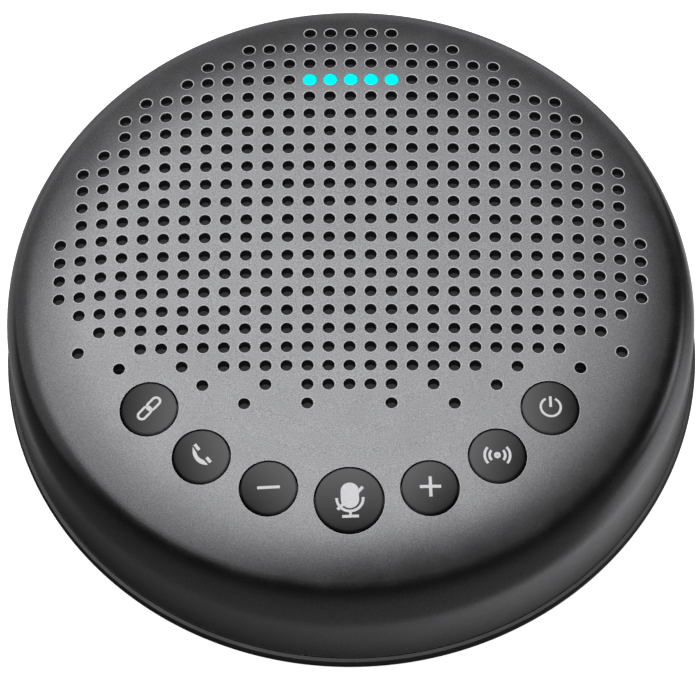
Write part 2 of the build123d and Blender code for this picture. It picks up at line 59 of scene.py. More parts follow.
# ---- shading of the shoulder, which turns over a longer stretch than its shape ----
wall_lean = radians(88.3)
soft_reach = 3.0
soft_steps = 10
soft_from = 36.0

# ---- finishes of the top shell's faces ----
PAINT, LIP, INSIDE, LAMP_LIP = range(4)

# ---- perforation: holes each side of the middle one, rear row first, then the rows that fade out ----
hole_pitch = 3.65
hole_radius = 1.03
hole_lip = 0.19
hole_sides = 28
rear_row_y = 53.15
FULL_ROWS = [2, 5, 7, 8, 10, 11, 11, 12, 13, 13, 13, 13, 14, 14, 14, 14, 13, 12]
FADING_ROWS = [[*range(11), 13], [*range(7), 8], [0, 1, 2, 4, 7], [2, 5]]
lamp_row = 3
lamp_columns = range(-2, 3)
lamp_hole_radius = 1.15
microphone_row = 19
microphone_column = 11
field_radius = 56.0
sliver = 0.004

# ---- keys ----
key_flange = 0.9
key_gap = 0.3
key_sides = 96
key_proud = 0.2
key_edge = 0.3
key_lip = 0.08
key_side = 1.2
flange_top = 2.35
flange_foot = 3.2
stem_radius = 1.5
# point that each key's painted highlight faces
key_highlight_y = -26.0
legend_turn = 2.0
legend_sunk = 0.02
legend_proud = 0.025

# ---- ports in the rear wall: turn from the rear, width, height, corner, height of the axis ----
PORTS = {
    "usb": (0.0, 12.8, 6.6, 2.2, 12.93),
    "jack": (50.0, 7.6, 7.6, 3.79, 13.9),
    "dongle": (-50.0, 18.6, 9.0, 2.2, 14.0),
}
port_lip = 0.3
port_margin = 1.6


# ---- the dome's shape ----
def dome_arcs(inset):
    """Arcs of the dome moved inwards by inset: centre, radius and lower end of each, and its end slope."""
    arcs = []
    r, z, slope = 0.0, shell_top - inset, 0.0
    for radius, end_degrees in DOME_ARCS:
        end = radians(end_degrees)
        size = max(radius - inset, thinnest_arc)
        centre_r = r - size * sin(slope)
        centre_z = z - size * cos(slope)
        r = centre_r + size * sin(end)
        z = centre_z + size * cos(end)
        arcs.append((centre_r, centre_z, size, r, z, slope, end))
        slope = end
    return arcs


ARCS = {}


def arcs_at(inset):
    """The dome's arcs at an inset, worked out once."""
    key = round(inset, 4)
    if key not in ARCS:
        ARCS[key] = dome_arcs(inset)
    return ARCS[key]


def dome_height(r, inset=0.0):
    """Height of the dome at a distance from the axis, moved inwards by inset."""
    for centre_r, centre_z, size, end_r, end_z, _, _ in arcs_at(inset):
        if r <= end_r:
            return centre_z + sqrt(max(size * size - (r - centre_r) ** 2, 0.0))
    return end_z


def dome_slope(r):
    """Downward slope of the dome at a distance from the axis."""
    for centre_r, _, size, end_r, _, _, _ in arcs_at(0.0):
        if r <= end_r:
            return asin(min((r - centre_r) / size, 1.0))
    return pi / 2


def on_dome(x, y, inset=0.0):
    """Point of the dome above (x, y)."""
    return Vector((x, y, dome_height(hypot(x, y), inset)))


def profile_distance(slope):
    """Length down the dome's profile, from its top to a slope."""
    arcs = [(size, start, end) for _, _, size, _, _, start, end in arcs_at(0.0) if slope > start]
    return sum(size * (min(slope, end) - start) for size, start, end in arcs)


def slope_at(distance):
    """Slope at a distance down the profile, which goes on down the side wall."""
    for _, _, size, _, _, start, end in arcs_at(0.0):
        length = size * (end - start)
        if distance <= length:
            return start + distance / size
        distance -= length
    return wall_lean


def soft_slope(distance):
    """Slope averaged over a short stretch of the profile, so that shading turns the shoulder gently."""
    total, weights = 0.0, 0.0
    for i in range(1 - soft_steps, soft_steps):
        weight = 1 + cos(pi * i / soft_steps)
        total += weight * slope_at(distance + soft_reach * i / soft_steps)
        weights += weight
    return total / weights


def dome_normal(x, y):
    """Outward direction of the dome above (x, y)."""
    r = max(hypot(x, y), 1e-9)
    slope = dome_slope(r)
    if r > soft_from:
        slope = soft_slope(profile_distance(slope))
    return Vector((x / r * sin(slope), y / r * sin(slope), cos(slope)))


def dome_profile(inset, first_r):
    """(radius, height, slope) down the dome's profile from a radius on, at most 3 degrees and 1 mm apart."""
    stations = []
    for centre_r, centre_z, size, end_r, _, start, end in arcs_at(inset):
        if end_r <= first_r:
            continue
        begin = max(start, asin(min(max((first_r - centre_r) / size, 0.0), 1.0)))
        count = max(1, ceil((end - begin) / station_turn), ceil((end - begin) * size))
        for number in range(0 if not stations else 1, count + 1):
            slope = begin + (end - begin) * number / count
            stations.append((centre_r + size * sin(slope), centre_z + size * cos(slope), slope))
    return stations


# ---- mesh building ----
class Shape:
    """Points and faces of one piece, in millimetres, with a normal where it is known."""

    def __init__(self):
        self.points = []
        self.normals = []
        self.faces = []
        self.finishes = []

    def add(self, points, normals=None):
        """Adds points and returns their numbers."""
        first = len(self.points)
        self.points.extend(Vector(point) for point in points)
        self.normals.extend(normals or [Vector((0, 0, 0))] * len(points))
        return list(range(first, len(self.points)))

    def face(self, corners, finish=0):
        """Adds one face."""
        self.faces.append(tuple(corners))
        self.finishes.append(finish)

    def bridge(self, lower, upper, finish=0, closed=True):
        """Joins two rows of points with quads."""
        count = len(lower)
        for i in range(count if closed else count - 1):
            j = (i + 1) % count
            self.face((lower[i], lower[j], upper[j], upper[i]), finish)

    def build(self, name, looks, body="housing", sharp=40.0):
        """Makes the object and lets it ride on its body."""
        mesh = bpy.data.meshes.new(name)
        mesh.from_pydata([point * MM for point in self.points], [], self.faces)
        for look in looks:
            mesh.materials.append(look.material)
        mesh.polygons.foreach_set("material_index", self.finishes)
        mesh.polygons.foreach_set("use_smooth", [True] * len(self.faces))
        mesh.set_sharp_from_angle(angle=radians(sharp))
        if any(normal.length for normal in self.normals):
            mesh.normals_split_custom_set_from_vertices(self.normals)
        piece = add_object(name, mesh)
        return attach(piece, body)


def add_object(name, data):
    """New object of the scene."""
    made = bpy.data.objects.new(name, data)
    bpy.context.scene.collection.objects.link(made)
    return made


def circle(radius, sides, x=0.0, y=0.0):
    """Flat points round a circle, counter-clockwise."""
    return [
        (x + radius * cos(2 * pi * i / sides), y + radius * sin(2 * pi * i / sides))
        for i in range(sides)
    ]


def lathe(shape, profile, finishes):
    """Turns a loop of (radius, height) points about the axis: down the outside, back up the inside."""
    rows = []
    for radius, height in profile:
        if radius < 1e-6:
            rows.append(shape.add([(0, 0, height)]) * turns)
        else:
            rows.append(shape.add([(x, y, height) for x, y in circle(radius, turns)]))
    for number, (upper, lower) in enumerate(zip(rows, rows[1:] + rows[:1])):
        for i in range(turns):
            j = (i + 1) % turns
            corners = []
            for corner in (lower[i], lower[j], upper[j], upper[i]):
                if corner not in corners:
                    corners.append(corner)
            if len(corners) > 2:
                shape.face(corners, finishes[number])


def rounded_rectangle(width, height, corner, per_corner=8, per_side=6):
    """Points round a rounded rectangle, counter-clockwise from the lower right corner."""
    points = []
    corner = min(corner, width / 2 - 1e-4, height / 2 - 1e-4)
    for quarter, (side_x, side_z) in enumerate([(1, -1), (1, 1), (-1, 1), (-1, -1)]):
        for step in range(per_corner + 1):
            angle = pi / 2 * (quarter - 1 + step / per_corner)
            across = side_x * (width / 2 - corner) + corner * cos(angle)
            up = side_z * (height / 2 - corner) + corner * sin(angle)
            points.append((across, up))
    finer = []
    for number, (ax, ay) in enumerate(points):
        finer.append((ax, ay))
        if number % (per_corner + 1) == per_corner:
            bx, by = points[(number + 1) % len(points)]
            for step in range(1, per_side):
                share = step / per_side
                finer.append((ax + (bx - ax) * share, ay + (by - ay) * share))
    return finer


def triangles(flat, loops, empty):
    """Triangles over flat points that keep the loops as edges, without those where empty(x, y) is true."""
    edges = [(loop[i - 1], loop[i]) for loop in loops for i in range(len(loop))]
    made = delaunay_2d_cdt([Vector(point) for point in flat], edges, [], 0, 1e-7)
    places, faces, sources = made[0], made[2], made[3]
    number = [source[0] for source in sources]
    kept = []
    for face in faces:
        middle = sum((places[corner] for corner in face), Vector((0, 0))) / len(face)
        if not empty(middle.x, middle.y):
            kept.append([number[corner] for corner in face])
    return kept


# ---- perforation and key places ----
def grille_places():
    """Places of the round holes of the perforation, lamps left out."""
    rows = [list(range(count + 1)) for count in FULL_ROWS] + FADING_ROWS
    places = []
    for number, columns in enumerate(rows):
        for column in columns:
            for side in ((1,) if column == 0 else (1, -1)):
                if number != lamp_row or abs(column) > lamp_columns[-1]:
                    places.append((side * column * hole_pitch, rear_row_y - number * hole_pitch))
    return places


LAMPS = [(column * hole_pitch, rear_row_y - lamp_row * hole_pitch) for column in lamp_columns]
MICROPHONES = [
    (side * microphone_column * hole_pitch, rear_row_y - microphone_row * hole_pitch) for side in (-1, 1)
]


def key_radius(name):
    """Radius of one key's cap, from the CAD key's retaining flange."""
    low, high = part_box(name)
    return (high.x - low.x) / MM / 2 - key_flange


def key_place(name):
    """Axis of one key."""
    low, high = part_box(name)
    return (low.x + high.x) / MM / 2, (low.y + high.y) / MM / 2


def openings():
    """Every round opening of the dome: x, y, radius, lip, number of sides and finish of the lip."""
    found = [(x, y, hole_radius, hole_lip, hole_sides, LIP) for x, y in grille_places() + MICROPHONES]
    found += [(x, y, lamp_hole_radius, hole_lip, hole_sides, LAMP_LIP) for x, y in LAMPS]
    for name in KEYS:
        x, y = key_place(name)
        found.append((x, y, key_radius(name) + key_gap, key_lip, key_sides, LIP))
    return found


# ---- top shell ----
def lip_rings(shape, x, y, radius, lip, sides, finish):
    """Rounded edge and wall of one opening; returns its outermost and its innermost ring."""
    rows = []
    for number in range(4):
        turn = pi / 2 * number / 3
        ring = circle(radius + lip * (1 - sin(turn)), sides, x, y)
        points = [on_dome(px, py, lip * (1 - cos(turn))) for px, py in ring]
        normals = []
        for px, py in ring:
            inwards = Vector((x - px, y - py, 0)).normalized()
            normals.append((dome_normal(px, py) * cos(turn) + inwards * sin(turn)).normalized())
        rows.append(shape.add(points, normals))
    ring = circle(radius, sides, x, y)
    inwards = [Vector((x - px, y - py, 0)).normalized() for px, py in ring]
    rows.append(shape.add([on_dome(px, py, shell_wall) for px, py in ring], inwards))
    for number in range(4):
        shape.bridge(rows[number], rows[number + 1], finish if number < 2 else INSIDE)
    return rows[0], rows[4]


def perforated_field(shape):
    """Middle of the shell with all its round openings; returns its outer and inner border."""
    flat, top, under, loops, round_ones = [], [], [], [], openings()
    for x, y, radius, lip, sides, finish in round_ones:
        outer, inner = lip_rings(shape, x, y, radius, lip, sides, finish)
        loops.append(list(range(len(flat), len(flat) + sides)))
        flat.extend(circle(radius + lip, sides, x, y))
        top.extend(outer)
        under.extend(inner)
    finder = KDTree(len(round_ones))
    for number, place in enumerate(round_ones):
        finder.insert((*place[:2], 0), number)
    finder.balance()

    def clearance(x, y):
        gaps = []
        for _, number, distance in finder.find_n((x, y, 0), 3):
            _, _, hole, lip, _, _ = round_ones[number]
            gaps.append(distance - hole - lip)
        return min(gaps)

    fillers = circle(field_radius, turns)
    half = hole_pitch / 2
    reach = int(field_radius / half) + 1
    for i in range(-reach, reach + 1):
        for j in range(-reach, reach + 1):
            x, y = i * half, rear_row_y + j * half
            if hypot(x, y) < field_radius - 0.8 and clearance(x, y) > 0.45:
                fillers.append((x, y))
    loops.append(list(range(len(flat), len(flat) + turns)))
    flat.extend(fillers)
    upper = shape.add([on_dome(x, y) for x, y in fillers], [dome_normal(x, y) for x, y in fillers])
    inwards = [-dome_normal(x, y) for x, y in fillers]
    lower = shape.add([on_dome(x, y, shell_wall) for x, y in fillers], inwards)
    top.extend(upper)
    under.extend(lower)
    for face in triangles(flat, loops, lambda x, y: clearance(x, y) < -sliver):
        shape.face([top[corner] for corner in face])
        shape.face([under[corner] for corner in reversed(face)], INSIDE)
    return upper[:turns], lower[:turns]


def wall_radius(z):
    """Radius of the outer wall at a height, below the point where the dome's side is upright."""
    upright_r, upright_z = arcs_at(0.0)[-1][3:5]
    share = (upright_z - z) / (upright_z - shell_foot_z)
    return upright_r + (shell_foot_radius - upright_r) * max(share, 0.0)


def port_point(x, z, depth, turn):
    """Point of the wall at (x, z) in a port's own plane, moved inwards by depth."""
    radius = wall_radius(z) - depth
    y = sqrt(radius * radius - x * x)
    return Matrix.Rotation(radians(turn), 3, "Z") @ Vector((x, y, z))


def port_rings(shape, turn, width, height, corner, axis_z):
    """Rounded edge and tunnel of one port; returns its ring on the outer and on the inner wall."""
    rows = []
    for number in range(4):
        angle = pi / 2 * number / 3
        grow = 2 * port_lip * (1 - sin(angle))
        outline = rounded_rectangle(width + grow, height + grow, corner + grow / 2)
        depth = port_lip * (1 - cos(angle))
        rows.append(shape.add([port_point(x, axis_z + z, depth, turn) for x, z in outline]))
    outline = rounded_rectangle(width, height, corner)
    rows.append(shape.add([port_point(x, axis_z + z, shell_wall, turn) for x, z in outline]))
    for number in range(4):
        shape.bridge(rows[number + 1], rows[number], LIP if number < 3 else INSIDE)
    return rows[0], rows[4]


def wall_band(shape, rings, heights, is_outer):
    """Quads of a wall between rings of points, with a patch of triangles round each port's outline."""
    cells = set()
    for name, (turn, width, _, _, _) in PORTS.items():
        middle = (pi / 2 + radians(turn)) / (2 * pi) * turns
        reach = asin((width / 2 + port_margin) / shell_foot_radius) / (2 * pi) * turns
        first, last = int(middle - reach) - 1, int(middle + reach) + 1
        cells.update(column % turns for column in range(first, last))
        port_patch(shape, rings, heights, name, first, last, is_outer)
    for row in range(len(rings) - 1):
        for column in range(turns):
            if column in cells:
                continue
            nxt = (column + 1) % turns
            corners = [rings[row + 1][column], rings[row + 1][nxt], rings[row][nxt], rings[row][column]]
            shape.face(corners if is_outer else corners[::-1], PAINT if is_outer else INSIDE)


def port_patch(shape, rings, heights, name, first, last, is_outer):
    """Triangles between a port's ring and the wall's own points round it."""
    turn, width, height, corner, axis_z = PORTS[name]
    port_ring = PORT_RINGS[name][0 if is_outer else 1]
    grow = 2 * port_lip if is_outer else 0.0
    outline = rounded_rectangle(width + grow, height + grow, corner + grow / 2)
    flat, numbers = [], []
    for (x, z), number in zip(outline, port_ring):
        flat.append((asin(x / wall_radius(axis_z + z)) * shell_foot_radius, axis_z + z))
        numbers.append(number)
    loop = list(range(len(flat)))
    for row, ring_z in enumerate(heights):
        for column in range(first, last + 1):
            if 0 < row < len(heights) - 1 and first < column < last:
                continue
            angle = 2 * pi * column / turns - pi / 2 - radians(turn)
            flat.append((-angle * shell_foot_radius, ring_z))
            numbers.append(rings[row][column % turns])

    def hollow(x, z):
        across = sin(x / shell_foot_radius) * wall_radius(z)
        reach_x = max(abs(across) - (width / 2 - corner), 0.0)
        reach_z = max(abs(z - axis_z) - (height / 2 - corner), 0.0)
        return hypot(reach_x, reach_z) < corner + grow / 2 - 5 * sliver

    for face in triangles(flat, [loop], hollow):
        corners = [numbers[corner] for corner in face]
        shape.face(corners[::-1] if is_outer else corners, PAINT if is_outer else INSIDE)


PORT_RINGS = {}


def make_top_shell():
    """Dome with its perforation, rounded edges, side wall and port openings, closed on its inside."""
    shape = Shape()
    outer_border, inner_border = perforated_field(shape)
    for name, port in PORTS.items():
        PORT_RINGS[name] = port_rings(shape, *port)

    def ring(radius, z, slope, sign=1):
        points = [(x, y, z) for x, y in circle(radius, turns)]
        normals = [
            Vector((x * sin(slope), y * sin(slope), cos(slope))) * sign for x, y in circle(1.0, turns)
        ]
        return shape.add(points, normals)

    def chain(border, inset, sign, finish):
        above = border
        stations = dome_profile(inset, field_radius)[1:]
        for radius, z, slope in stations:
            shading = soft_slope(profile_distance(slope)) if sign > 0 else slope
            below = ring(radius, z, shading, sign)
            if sign > 0:
                shape.bridge(below, above, finish)
            else:
                shape.bridge(above, below, finish)
            above = below
        return above, stations[-1]

    outer_low, outer_last = chain(outer_border, 0.0, 1, PAINT)
    inner_low, inner_last = chain(inner_border, shell_wall, -1, INSIDE)
    foot_round = 0.25
    lows = []
    for is_outer, top_ring, last in ((True, outer_low, outer_last), (False, inner_low, inner_last)):
        low = shell_foot_z + foot_round
        count = 8
        heights = [last[1] + (low - last[1]) * i / count for i in range(count + 1)]
        depth = 0.0 if is_outer else shell_wall
        rings = [top_ring]
        for z in heights[1:]:
            shading = soft_slope(profile_distance(pi / 2) + last[1] - z) if is_outer else wall_lean
            rings.append(ring(wall_radius(z) - depth, z, shading, 1 if is_outer else -1))
        wall_band(shape, rings, heights, is_outer)
        lows.append(rings[-1])
    radius = shell_foot_radius - foot_round
    above, inner_low = lows
    for number in range(1, 4):
        turn = pi / 2 * number / 3
        z = shell_foot_z + foot_round * (1 - sin(turn))
        below = ring(radius + foot_round * cos(turn), z, pi / 2 + turn)
        shape.bridge(below, above, LIP)
        above = below
    inside = ring(shell_foot_radius - shell_wall, shell_foot_z, pi)
    shape.bridge(inside, above, INSIDE)
    shape.bridge(inner_low, inside, INSIDE)
    # the edges round the lamps get the lamps' cyan light painted on as a glow
    # the rounded edges get a pale finish, a painted highlight
    looks = [paint(), pale_edge_highlight(), plastic("shell_inside_plastic", 0.020, 0.6), lamp_glow_painted_edge()]
    piece = shape.build("top_shell_painted", looks)
    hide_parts("top_shell")


# ---- base ----
def arc_points(centre, radius, first, last, count):
    """(radius, height) points along an arc, by its downward slopes in degrees."""
    slopes = [radians(first + (last - first) * i / count) for i in range(count + 1)]
    return [(centre[0] + radius * sin(slope), centre[1] + radius * cos(slope)) for slope in slopes]


def make_base_shell():
    """Shallow base: rounded rim, belly, recess for the foot, floor and the lip inside the seam."""
    outer_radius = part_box("base_shell")[1].x / MM
    seam_z = shell_foot_z - 0.31
    rim, belly, ridge_round = 2.5, 7.0, 0.22
    rim_start, rim_end, belly_end = 57.6, 118, 160
    rim_centre = (outer_radius - rim, seam_z - rim * cos(radians(rim_start)))
    ridge_r = rim_centre[0] + rim * sin(radians(rim_start))
    ridge_centre = (ridge_r - ridge_round * 1.55, seam_z - ridge_round)
    ridge = arc_points(ridge_centre, ridge_round, 0, 62, 5)
    side = ridge + arc_points(rim_centre, rim, 66, rim_end, 16)
    belly_r = side[-1][0] - belly * sin(radians(rim_end))
    belly_z = side[-1][1] - belly * cos(radians(rim_end))
    under = arc_points((belly_r, belly_z), belly, rim_end, belly_end, 12)[1:]
    underside, recess, floor_top, lip_foot = 1.2, 1.6, 3.6, 9.0
    run = (under[-1][1] - underside) / tan(radians(180 - belly_end))
    heel = (under[-1][0] - run, underside)
    foot_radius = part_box("rubber_foot")[1].x / MM + 0.2
    lip_in, lip_out, bevel = 57.05, 58.25, 0.2
    inner = [
        heel, (foot_radius, underside), (foot_radius, recess), (0, recess), (0, floor_top),
        (lip_in, floor_top), (lip_in, lip_foot), (lip_in + bevel, lip_foot + bevel),
        (lip_out - bevel, lip_foot + bevel), (lip_out, lip_foot), (lip_out, seam_z),
    ]
    shape = Shape()
    profile = side + under + inner
    # the thin ridge at the seam is a paler plastic: a painted highlight line
    finishes = [1] * len(ridge) + [0] * (len(profile) - len(ridge))
    lathe(shape, profile, finishes)
    looks = [plastic("base_plastic_look", 0.022, 0.42), plastic("ridge_painted_highlight", 0.13, 0.5)]
    piece = shape.build("base_shell_moulded", looks, sharp=32)
    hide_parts("base_shell")


# ---- keys ----
def dome_cap(shape, x, y, top, stations, sides):
    """Cap that follows the dome through (radius, depth) stations from a top point; returns its last ring."""
    middle = shape.add([on_dome(x, y, top)])[0]
    above = None
    for r, inset in stations:
        below = shape.add([on_dome(px, py, inset) for px, py in circle(r, sides, x, y)])
        if above is None:
            for i in range(sides):
                shape.face((below[i], below[(i + 1) % sides], middle))
        else:
            shape.bridge(below, above)
        above = below
    return above


def make_key(name):
    """Key cap with a rounded edge, following the dome, with its flange and stem."""
    x, y = key_place(name)
    radius = key_radius(name)
    stations = [(radius * share, -key_proud) for share in (0.3, 0.6, 0.8)]
    for number in range(9):
        turn = pi / 2 * number / 8
        stations.append((radius - key_edge * (1 - sin(turn)), key_edge * (1 - cos(turn)) - key_proud))
    stations += [(radius, key_side), (radius, flange_top), (radius + key_flange, flange_top)]
    stations += [(radius + key_flange, flange_foot), (stem_radius, flange_foot)]
    shape = Shape()
    above = dome_cap(shape, x, y, -key_proud, stations, key_sides)
    stem_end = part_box(name)[0].z / MM
    below = shape.add([(px, py, stem_end) for px, py in circle(stem_radius, key_sides, x, y)])
    shape.bridge(below, above)
    shape.face(below[::-1])
    piece = shape.build(name + "_cap", [key_finish(name)], name, sharp=50)
    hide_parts(name)


class Legend(Shape):
    """Thin printed marks on one key, laid on its cap. Places are millimetres from the key's axis."""

    def __init__(self, name):
        super().__init__()
        self.name = name
        self.x, self.y = key_place(name)
        self.turn = Matrix.Rotation(radians(legend_turn), 2)

    def layer(self, flat, height):
        """Points over the cap at a height above it."""
        turned = [self.turn @ Vector(place) for place in flat]
        return self.add([on_dome(self.x + x, self.y + y, -key_proud - height) for x, y in turned])

    def strip(self, left, right, closed=False):
        """Thin closed solid between a left and a right row of points."""
        rows = [self.layer(row, height) for height in (-legend_sunk, legend_proud) for row in (left, right)]
        low_left, low_right, top_left, top_right = rows
        self.bridge(top_right, top_left, closed=closed)
        self.bridge(low_left, low_right, closed=closed)
        self.bridge(top_left, low_left, closed=closed)
        self.bridge(low_right, top_right, closed=closed)
        if not closed:
            self.face((low_right[0], top_right[0], top_left[0], low_left[0]))
            self.face((low_left[-1], top_left[-1], top_right[-1], low_right[-1]))

    def stroke(self, path, width, closed=False):
        """Line of even width along a path."""
        left, right = [], []
        count = len(path)
        for i in range(count):
            before = path[i - 1] if closed or i else path[i]
            after = path[(i + 1) % count] if closed or i < count - 1 else path[i]
            along = Vector((after[0] - before[0], after[1] - before[1])).normalized()
            side = Vector((-along.y, along.x)) * width / 2
            left.append((path[i][0] + side.x, path[i][1] + side.y))
            right.append((path[i][0] - side.x, path[i][1] - side.y))
        self.strip(left, right, closed)

    def bar(self, start, end, width):
        """Straight line cut into short runs, so that it follows the cap."""
        runs = 6
        path = [
            (start[0] + (end[0] - start[0]) * i / runs, start[1] + (end[1] - start[1]) * i / runs)
            for i in range(runs + 1)
        ]
        self.stroke(path, width)

    def arc(self, centre, radius, first, last, width):
        """Arc between two angles in degrees."""
        runs = max(8, int(abs(last - first) / 7))
        angles = [radians(first + (last - first) * i / runs) for i in range(runs + 1)]
        self.stroke([(centre[0] + radius * cos(a), centre[1] + radius * sin(a)) for a in angles], width)

    def finish(self):
        """Builds the legend on its key."""
        piece = self.build(self.name + "_legend", [LEGEND_FINISH], self.name)


def stadium(half_length, radius, tilt, centre):
    """Points round a stadium shape with its long side turned by tilt degrees."""
    turn = Matrix.Rotation(radians(tilt), 2)
    points = []
    for side in (1, -1):
        for step in range(13):
            angle = radians(-90 + 180 * step / 12) + (0 if side > 0 else pi)
            local = Vector((side * half_length + radius * cos(angle), radius * sin(angle)))
            place = turn @ local
            points.append((centre[0] + place.x, centre[1] + place.y))
    return points


def draw_mute(legend):
    """Microphone in its stand, struck through."""
    middle = 0.14
    width, low, high = 3.14, -1.63, 3.05
    end = width / 2
    rows = 20
    left, right = [], []
    for i in range(rows + 1):
        y = (low + high) / 2 - (high - low) / 2 * cos(pi * i / rows)
        over = max(y - (high - end), (low + end) - y, 0.0)
        half = sqrt(max(end * end - over * over, 1e-4))
        left.append((middle - half, y))
        right.append((middle + half, y))
    legend.strip(left, right)
    stand, stand_y = 2.27, 0.12
    for side in (-1, 1):
        legend.bar((middle + side * stand, stand_y + 0.16), (middle + side * stand, stand_y), 0.54)
    legend.arc((middle, stand_y), stand, 180, 360, 0.48)
    legend.bar((middle, -2.36), (middle, -2.85), 0.5)
    legend.bar((middle - 1.45, -3.08), (middle + 1.45, -3.08), 0.5)
    legend.bar((-2.05, -1.82), (-1.05, -0.86), 0.56)
    legend.bar((1.5, 1.2), (2.42, 2.18), 0.56)


def draw_volume_down(legend):
    """Minus sign."""
    legend.bar((-1.95, 0), (1.95, 0), 0.52)


def draw_volume_up(legend):
    """Plus sign."""
    x, y, reach, width = 0.1, 0.1, 1.84, 0.56
    legend.bar((x - reach, y), (x + reach, y), width)
    legend.bar((x, y + width / 2), (x, y + reach), width)
    legend.bar((x, y - reach), (x, y - width / 2), width)


def draw_call(legend):
    """Telephone handset, tilted, with its two ends set off by a slit."""
    centre_x, centre_y = 1.0, 1.05
    outer, inner = [], []
    for i in range(17):
        share = i / 16
        outer_turn = radians(165 + 108 * share)
        inner_turn = radians(190 + 60 * share)
        outer.append((centre_x + 2.5 * cos(outer_turn), centre_y + 2.78 * sin(outer_turn)))
        inner.append((centre_x + 1.86 * cos(inner_turn), centre_y + 1.92 * sin(inner_turn)))
    legend.strip(inner, outer)
    legend.bar((-1.08, 2.23), (-0.33, 1.12), 0.56)
    legend.bar((0.9, -0.36), (1.58, -1.3), 0.56)


def draw_wireless(legend):
    """Radio waves on both sides of a dot."""
    legend.stroke(circle(0.34, 20), 0.5, closed=True)
    for radius in (1.35, 2.2):
        legend.arc((0, 0), radius, -42, 42, 0.46)
        legend.arc((0, 0), radius, 138, 222, 0.46)


def draw_power(legend):
    """Open ring with an upright bar."""
    x, y = 0.12, 0.05
    legend.arc((x, y), 1.73, 118, 422, 0.42)
    legend.bar((x, y), (x, y + 2.0), 0.48)


def draw_link(legend):
    """Two links of a chain."""
    legend.stroke(stadium(0.62, 0.72, 45, (-0.78, -0.8)), 0.44, closed=True)
    legend.stroke(stadium(0.62, 0.72, 45, (0.8, 0.78)), 0.44, closed=True)


# what draws each key's legend
KEYS = {
    "link_key": draw_link,
    "call_key": draw_call,
    "volume_down_key": draw_volume_down,
    "mute_key": draw_mute,
    "volume_up_key": draw_volume_up,
    "wireless_key": draw_wireless,
    "power_key": draw_power,
}


# ---- lamps: each lens's share of its radius and depth below the dome, from the middle outwards ----
lens_play = 0.03
lens_top = -0.05
LENS_RINGS = [(0.4, -0.045), (0.7, -0.03), (0.88, 0.0), (0.97, 0.06), (1.0, 0.14), (1.0, 3.4)]


def make_lamps():
    """Five rounded lenses of the light guide, which fill their holes."""
    radius = lamp_hole_radius - lens_play
    stations = [(radius * share, inset) for share, inset in LENS_RINGS]
    for number, (x, y) in enumerate(LAMPS):
        shape = Shape()
        last = dome_cap(shape, x, y, lens_top, stations, hole_sides)
        shape.face(last[::-1])
        piece = shape.build(f"lamp_lens_{number + 1}", [LAMP_FINISH], sharp=60)
        if number == 0:
            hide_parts("lamp_light_guide")


# ---- dongle ----
def loft(shape, sections, turn, axis_z):
    """Closed solid through rounded-rectangle sections: (y, width, height, corner)."""
    rotate = Matrix.Rotation(radians(turn), 3, "Z")
    rows = []
    for y, width, height, corner in sections:
        outline = rounded_rectangle(width, height, corner, 6)
        rows.append(shape.add([rotate @ Vector((x, y, axis_z + z)) for x, z in outline]))
    for lower, upper in zip(rows, rows[1:]):
        shape.bridge(upper, lower)
    shape.face(rows[0])
    shape.face(rows[-1][::-1])


def make_dongle_cap():
    """Glossy plastic cap with rounded shoulders on the plug's side and softened edges."""
    turn, _, _, _, axis_z = PORTS["dongle"]
    width, height, corner = 16.9, 7.5, 1.8
    shoulder_y, end_y = 45.0, 61.2
    sections = []
    shoulder, edge = 2.3, 0.5
    for number in range(9):
        angle = pi / 2 * number / 8
        back = shoulder * (1 - sin(angle))
        thin = edge * (1 - sin(min(angle * 2, pi / 2)))
        sections.append(
            (shoulder_y + shoulder * (1 - cos(angle)), width - 2 * back, height - 2 * thin, corner)
        )
    for number in range(6):
        angle = pi / 2 * number / 5
        inwards = edge * (1 - cos(angle))
        sections.append(
            (end_y - edge * (1 - sin(angle)), width - 2 * inwards, height - 2 * inwards, corner)
        )
    shape = Shape()
    loft(shape, sections, turn, axis_z)
    piece = shape.build("dongle_cap_moulded", [glossy_plastic()], "dongle", sharp=50)
    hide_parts("dongle_cap")


# ---- materials ----
def add_node(tree, kind, operation=None, *sources):
    """New shader node whose first sockets are fed by the sources, which are sockets or plain values."""
    node = tree.nodes.new("ShaderNode" + kind)
    if operation:
        node.operation = operation
    for socket, source in zip(node.inputs, sources):
        if isinstance(source, bpy.types.NodeSocket):
            tree.links.new(source, socket)
        else:
            socket.default_value = source
    return node


def fade(tree, source, start, end, top=1.0):
    """Value that eases from 0, where the source is start, to top, where it is end."""
    node = add_node(tree, "MapRange", None, source, start, end, 0.0, top)
    node.interpolation_type = "SMOOTHSTEP"
    return node.outputs["Result"]


